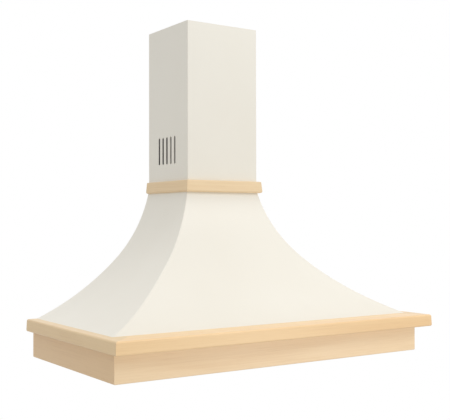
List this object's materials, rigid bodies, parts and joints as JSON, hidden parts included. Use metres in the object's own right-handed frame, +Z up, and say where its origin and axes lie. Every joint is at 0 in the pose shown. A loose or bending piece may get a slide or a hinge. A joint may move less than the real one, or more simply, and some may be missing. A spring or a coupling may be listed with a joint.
{
  "type": "dome chimney range hood",
  "caption": "Wall-hung range hood with a flared cream metal dome, a square chimney cover with vent slots, and mitred wooden trim at its foot and neck.",
  "frame": {"origin": "on the wall plane, in the middle of the hood, at the level of the wooden fascia's underside", "axes": "+X along the width, to the right seen from the room; +Y into the wall; +Z up"},
  "size_m": [0.8996, 0.4998, 0.844],
  "materials": {
    "cream_paint": "satin powder coat",
    "wood": "clear satin lacquer",
    "galvanised_steel": "galvanised sheet",
    "zinc_screws": "bright zinc plate",
    "shaft_steel": "ground",
    "panel_plastic": "fine texture",
    "button_plastic": "satin",
    "housing_plastic": "matt",
    "latch_plastic": "satin",
    "bright_trim": "polished",
    "lamp_lens": "frosted",
    "lamp_bulb": "opal",
    "filter_aluminium": "bright anodised",
    "filter_mesh": "expanded mesh",
    "blower_plastic": "matt",
    "impeller_plastic": "matt",
    "motor_aluminium": "cast",
    "capacitor_plastic": "gloss"
  },
  "bodies": {
    "hood": {"back_panel": "galvanised_steel", "dome_front_panel": "cream_paint", "dome_left_panel": "cream_paint", "dome_right_panel": "cream_paint", "chimney_cover": "cream_paint", "rear_rivets": "zinc_screws", "dome_screws": "zinc_screws", "moulding_front": "wood", "moulding_left": "wood", "moulding_right": "wood", "fascia_front": "wood", "fascia_left": "wood", "fascia_right": "wood", "band_front": "wood", "band_left": "wood", "band_right": "wood", "fascia_dowels": "wood", "band_screws": "zinc_screws", "underside_pan": "cream_paint", "pan_rails": "cream_paint", "bay_guides": "cream_paint", "pan_screws": "zinc_screws", "control_panel": "panel_plastic", "panel_screws": "zinc_screws", "switch_housing": "housing_plastic", "lamp_bezels": "bright_trim", "lamp_lenses": "lamp_lens", "lamp_housings": "galvanised_steel", "lamp_bulbs": "lamp_bulb", "scroll_front_shell": "blower_plastic", "scroll_rear_shell": "blower_plastic", "inlet_grille": "blower_plastic", "motor": "motor_aluminium", "motor_bracket": "galvanised_steel", "blower_screws": "zinc_screws", "outlet_collar": "blower_plastic", "damper_pin": "shaft_steel", "blower_brackets": "galvanised_steel", "junction_box": "housing_plastic", "cable_gland": "housing_plastic", "capacitor": "capacitor_plastic"},
    "chimney_sleeve": {"chimney_extension": "cream_paint", "chimney_bracket": "galvanised_steel", "extension_screws": "zinc_screws"},
    "rotor": {"impeller": "impeller_plastic", "motor_shaft": "shaft_steel", "hub_nut": "zinc_screws"},
    "flap_front": {"damper_flap_front": "blower_plastic"},
    "flap_rear": {"damper_flap_rear": "blower_plastic"},
    "filter_left": {"filter_frame_left": "filter_aluminium", "filter_mesh_left": "filter_mesh"},
    "latch_left": {"filter_latch_left": "latch_plastic"},
    "filter_right": {"filter_frame_right": "filter_aluminium", "filter_mesh_right": "filter_mesh"},
    "latch_right": {"filter_latch_right": "latch_plastic"},
    "button_light_cap": {"button_light": "button_plastic"},
    "button_off_cap": {"button_off": "button_plastic"},
    "button_low_cap": {"button_low": "button_plastic"},
    "button_medium_cap": {"button_medium": "button_plastic"},
    "button_high_cap": {"button_high": "button_plastic"}
  },
  "joints": [
    {"name": "chimney_slide", "type": "slide", "parent": "hood", "child": "chimney_sleeve", "axis": [0, 0, 1], "range_m": [0, 0.33]},
    {"name": "rotor_spin", "type": "hinge", "parent": "hood", "child": "rotor", "pos_m": [-0.06, -0.1, 0.232], "axis": [0, -1, 0], "continuous": true},
    {"name": "flap_front_lift", "type": "hinge", "parent": "hood", "child": "flap_front", "pos_m": [0, -0.1015, 0.392], "axis": [-1, 0, 0], "range_deg": [0, 75]},
    {"name": "flap_rear_lift", "type": "hinge", "parent": "hood", "child": "flap_rear", "pos_m": [0, -0.1015, 0.392], "axis": [1, 0, 0], "range_deg": [0, 75]},
    {"name": "filter_left_drop", "type": "hinge", "parent": "hood", "child": "filter_left", "pos_m": [-0.1915, -0.0515, 0.028], "axis": [1, 0, 0], "range_deg": [0, 80]},
    {"name": "latch_left_pull", "type": "slide", "parent": "filter_left", "child": "latch_left", "axis": [0, 1, 0], "range_m": [0, 0.005], "stiffness_N_per_m": 400, "springref_m": -0.002},
    {"name": "filter_right_drop", "type": "hinge", "parent": "hood", "child": "filter_right", "pos_m": [0.1915, -0.0515, 0.028], "axis": [1, 0, 0], "range_deg": [0, 80]},
    {"name": "latch_right_pull", "type": "slide", "parent": "filter_right", "child": "latch_right", "axis": [0, 1, 0], "range_m": [0, 0.005], "stiffness_N_per_m": 400, "springref_m": -0.002},
    {"name": "button_light_press", "type": "slide", "parent": "hood", "child": "button_light_cap", "axis": [0, 0, 1], "range_m": [0, 0.0025], "stiffness_N_per_m": 400, "springref_m": -0.001},
    {"name": "button_off_press", "type": "slide", "parent": "hood", "child": "button_off_cap", "axis": [0, 0, 1], "range_m": [0, 0.0025], "stiffness_N_per_m": 400, "springref_m": -0.001},
    {"name": "button_low_press", "type": "slide", "parent": "hood", "child": "button_low_cap", "axis": [0, 0, 1], "range_m": [0, 0.0025], "stiffness_N_per_m": 400, "springref_m": -0.001},
    {"name": "button_medium_press", "type": "slide", "parent": "hood", "child": "button_medium_cap", "axis": [0, 0, 1], "range_m": [0, 0.0025], "stiffness_N_per_m": 400, "springref_m": -0.001},
    {"name": "button_high_press", "type": "slide", "parent": "hood", "child": "button_high_cap", "axis": [0, 0, 1], "range_m": [0, 0.0025], "stiffness_N_per_m": 400, "springref_m": -0.001}
  ]
}
